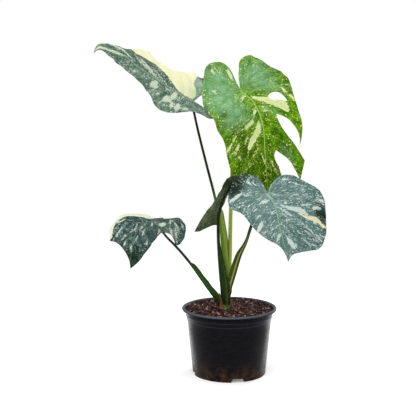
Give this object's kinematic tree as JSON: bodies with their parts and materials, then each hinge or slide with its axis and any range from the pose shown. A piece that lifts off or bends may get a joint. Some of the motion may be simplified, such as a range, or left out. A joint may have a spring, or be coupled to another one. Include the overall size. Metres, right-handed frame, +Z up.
{
  "type": "potted thai constellation monstera",
  "caption": "Young variegated monstera with cream-speckled waxy leaves on sheathed stalks in a round plastic nursery pot of bark and coir.",
  "frame": {"origin": "centre of the round pad under the pot floor, on the surface that the pot stands on", "axes": "+Z up along the pot's axis, -Y towards the viewer of the picture, +X to the viewer's right"},
  "size_m": [0.3512, 0.1907, 0.5191],
  "materials": {
    "pot_plastic": "satin moulded polypropylene",
    "soil_coir": "loose damp bark and coir",
    "stem_green": "smooth waxy stem",
    "petiole_green": "smooth waxy leaf stalk",
    "leaf_green": "glossy waxy leaf with cream variegation",
    "dry_brown": "dry papery sheath"
  },
  "bodies": {
    "root": {"pot": "pot_plastic", "soil": "soil_coir", "stem": "stem_green", "dry_sheath": "dry_brown", "petiole_a": "petiole_green", "petiole_b": "petiole_green", "petiole_c": "petiole_green", "petiole_d": "petiole_green", "petiole_e": "petiole_green", "leaf_a": "leaf_green", "leaf_b": "leaf_green", "leaf_c": "leaf_green", "leaf_d": "leaf_green", "leaf_e": "leaf_green"}
  },
  "joints": []
}
